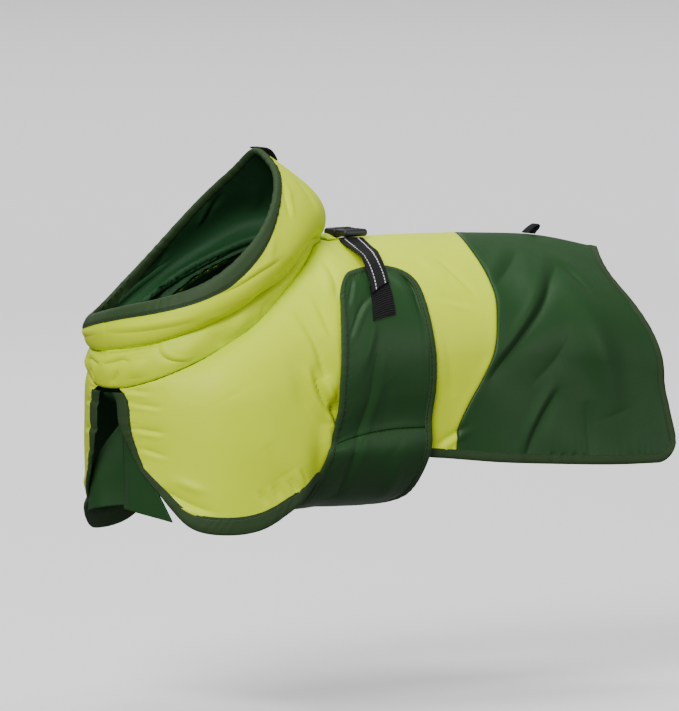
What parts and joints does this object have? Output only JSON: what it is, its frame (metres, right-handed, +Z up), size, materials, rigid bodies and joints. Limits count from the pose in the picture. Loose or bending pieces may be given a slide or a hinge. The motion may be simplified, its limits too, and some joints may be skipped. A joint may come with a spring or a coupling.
{
  "type": "dog rain poncho",
  "caption": "Dog rain poncho in its worn shape: cape with a stand-up slouching collar, belly band on webbing straps, side-release buckle over the withers.",
  "frame": {"origin": "inner face of the back cloth at the withers, under the buckle", "axes": "+X towards the tail end, -Y to the wearer's left, +Z up, as it hangs when worn by a standing dog"},
  "size_m": [0.4171, 0.1889, 0.257],
  "materials": {
    "shell": "smooth coated polyester, softly satin",
    "green": "smooth coated polyester, softly satin",
    "lining": "fine matte lining",
    "binding": "folded woven tape, matte",
    "webbing": "woven webbing and ribbed elastic, matte",
    "plastic": "moulded, fine satin"
  },
  "bodies": {
    "root": {"body_panel": "shell", "rear_panel": "green", "edge_binding": "binding", "collar": "shell", "collar_lining": "lining", "collar_binding": "binding", "chest_gusset": "green", "band_side_left": "green", "band_side_right": "green", "band_belly": "green", "band_binding": "binding", "buckle_left": "plastic", "buckle_right": "plastic", "lead_welt": "shell", "neck_loop": "webbing", "rear_tab": "webbing", "strap_left": "webbing", "elastic_left": "webbing", "strap_right": "webbing", "elastic_right": "webbing"}
  },
  "joints": []
}
